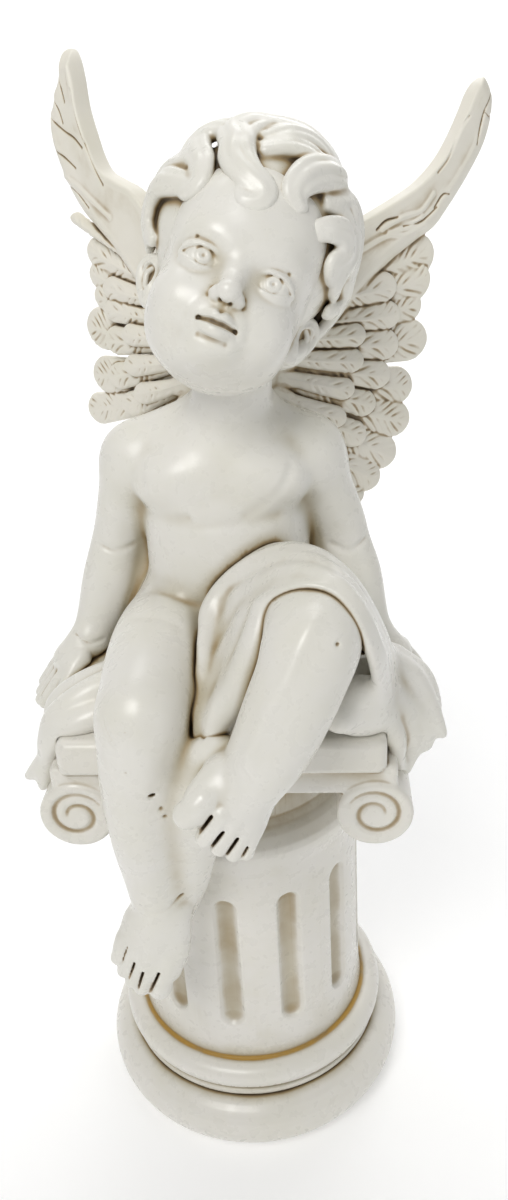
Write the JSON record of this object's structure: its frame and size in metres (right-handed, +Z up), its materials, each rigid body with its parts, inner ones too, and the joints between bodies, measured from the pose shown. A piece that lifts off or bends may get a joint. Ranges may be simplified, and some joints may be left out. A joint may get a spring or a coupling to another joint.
{
  "type": "cherub statue on a column",
  "caption": "Seated winged cherub in cast stone finish, painted ivory with amber antiquing, on a short fluted Ionic column with carved drapery.",
  "frame": {"origin": "centre of the column's flat underside", "axes": "+Z up the column, -Y towards the side the statue faces, +X to the statue's own left"},
  "size_m": [0.2652, 0.2579, 0.631],
  "materials": {
    "painted_cast_stone": "satin ivory paint with amber and brown antiquing in the hollows",
    "feather_finish": "satin ivory paint, more strongly antiqued between the feathers"
  },
  "bodies": {
    "root": {"column_plinth": "painted_cast_stone", "cherub_figure": "painted_cast_stone", "wing_left": "feather_finish", "wing_right": "feather_finish"}
  },
  "joints": []
}
